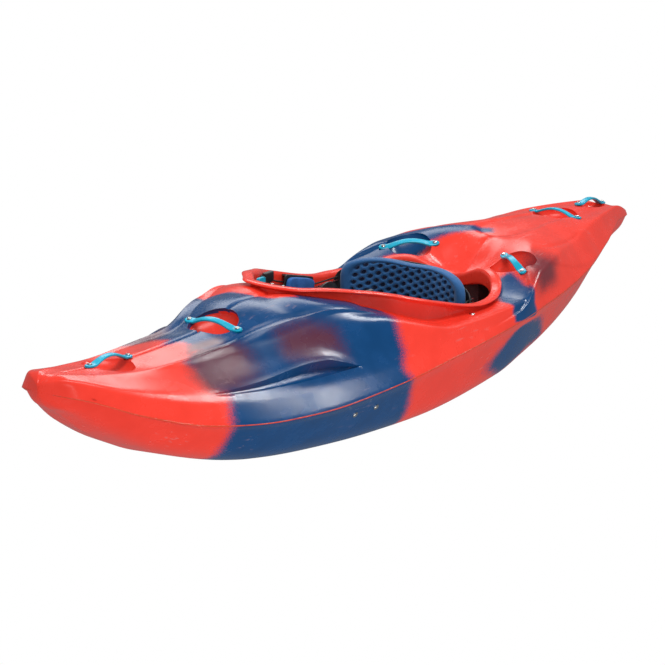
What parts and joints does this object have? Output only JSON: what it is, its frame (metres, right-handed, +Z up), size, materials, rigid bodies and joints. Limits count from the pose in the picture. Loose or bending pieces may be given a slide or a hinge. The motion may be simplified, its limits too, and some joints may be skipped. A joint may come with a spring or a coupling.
{
  "type": "whitewater kayak",
  "caption": "Single-seat whitewater kayak: hollow rockered hull with raised cockpit rim, grab handles, sliding seat and footrest, hinged backband, thigh braces, foam pillars and drain plug.",
  "frame": {"origin": "centre of the box round the whole kayak, at the height of the flat under the keel, on which it stands", "axes": "+X towards the bow, +Y to the paddler's left, +Z up"},
  "size_m": [2.72, 0.6556, 0.4016],
  "materials": {
    "hull_plastic": "rotation-moulded polyethylene, red blending into deep blue with a speckled edge, soft gloss, light scuffs",
    "handle_plastic": "moulded teal nylon, satin",
    "bolt_steel": "stainless steel, lightly brushed",
    "black_plastic": "black moulded plastic, fine grain",
    "cord_fibre": "braided cord, black with a red tracer",
    "bracket_aluminium": "bead-blasted sheet aluminium",
    "support_foam": "closed-cell foam, grey, fine cells",
    "pad_fabric": "blue neoprene-faced foam",
    "brace_foam": "dark closed-cell foam",
    "seal_rubber": "black rubber washer"
  },
  "bodies": {
    "hull": {"hull_shell": "hull_plastic", "bow_grab_handle": "handle_plastic", "bow_grab_handle_bolt_1": "bolt_steel", "bow_grab_handle_bolt_2": "bolt_steel", "foredeck_grab_handle": "handle_plastic", "foredeck_grab_handle_bolt_1": "bolt_steel", "foredeck_grab_handle_bolt_2": "bolt_steel", "side_grab_handle_left": "handle_plastic", "side_grab_handle_left_bolt_1": "bolt_steel", "side_grab_handle_left_bolt_2": "bolt_steel", "side_grab_handle_right": "handle_plastic", "side_grab_handle_right_bolt_1": "bolt_steel", "side_grab_handle_right_bolt_2": "bolt_steel", "aft_grab_handle": "handle_plastic", "aft_grab_handle_bolt_1": "bolt_steel", "aft_grab_handle_bolt_2": "bolt_steel", "stern_grab_handle": "handle_plastic", "stern_grab_handle_bolt_1": "bolt_steel", "stern_grab_handle_bolt_2": "bolt_steel", "seat_rail_left": "black_plastic", "rim_screw_1_left": "bolt_steel", "rim_screw_2_left": "bolt_steel", "cord_cleat_left": "black_plastic", "adjuster_cord_left": "cord_fibre", "pull_tab_left": "handle_plastic", "backband_bracket_left": "bracket_aluminium", "backband_pivot_left": "bolt_steel", "deck_bolt_left": "bolt_steel", "footrest_rail_left": "bracket_aluminium", "rail_bolt_1_left": "bolt_steel", "rail_bolt_2_left": "bolt_steel", "seat_rail_right": "black_plastic", "rim_screw_1_right": "bolt_steel", "rim_screw_2_right": "bolt_steel", "cord_cleat_right": "black_plastic", "adjuster_cord_right": "cord_fibre", "pull_tab_right": "handle_plastic", "backband_bracket_right": "bracket_aluminium", "backband_pivot_right": "bolt_steel", "deck_bolt_right": "bolt_steel", "footrest_rail_right": "bracket_aluminium", "rail_bolt_1_right": "bolt_steel", "rail_bolt_2_right": "bolt_steel", "bow_pillar": "support_foam", "stern_pillar": "support_foam"},
    "seat": {"seat_pan": "black_plastic", "seat_pad": "pad_fabric", "hip_pad_left": "pad_fabric", "hip_pad_right": "pad_fabric"},
    "backband": {"backband_shell": "black_plastic", "backband_pad": "pad_fabric"},
    "brace_left": {"thigh_brace_left": "black_plastic", "thigh_brace_pad_left": "brace_foam"},
    "brace_right": {"thigh_brace_right": "black_plastic", "thigh_brace_pad_right": "brace_foam"},
    "footrest": {"footrest_plate": "bracket_aluminium", "footrest_foam": "brace_foam"},
    "drain_carrier": {"drain_seal": "seal_rubber"},
    "drain_plug": {"drain_plug": "black_plastic"}
  },
  "joints": [
    {"name": "seat_slide", "type": "slide", "parent": "hull", "child": "seat", "axis": [1, 0, 0], "range_m": [-0.015, 0.03]},
    {"name": "backband_hinge", "type": "hinge", "parent": "hull", "child": "backband", "pos_m": [-0.118, 0, 0.186], "axis": [0, 1, 0], "range_deg": [-20, 15], "deforming": ["adjuster_cord_left", "adjuster_cord_right"]},
    {"name": "thigh_brace_slide_left", "type": "slide", "parent": "hull", "child": "brace_left", "axis": [0.9724, 0, 0.2334], "range_m": [-0.022, 0.008]},
    {"name": "thigh_brace_slide_right", "type": "slide", "parent": "hull", "child": "brace_right", "axis": [0.9724, 0, 0.2334], "range_m": [-0.022, 0.008]},
    {"name": "footrest_slide", "type": "slide", "parent": "hull", "child": "footrest", "axis": [1, 0, 0], "range_m": [-0.06, 0.1]},
    {"name": "drain_plug_lift", "type": "slide", "parent": "hull", "child": "drain_carrier", "axis": [-0.2763, -0.8239, 0.4948], "range_m": [0, 0.012]},
    {"name": "drain_plug_turn", "type": "hinge", "parent": "drain_carrier", "child": "drain_plug", "pos_m": [-1.075, -0.11764, 0.268], "axis": [-0.2763, -0.8239, 0.4948], "range_deg": [0, 1441]}
  ],
  "couplings": [
    {"joint": "drain_plug_turn", "follows": "drain_plug_lift", "rad_per_m": 2094.4}
  ]
}
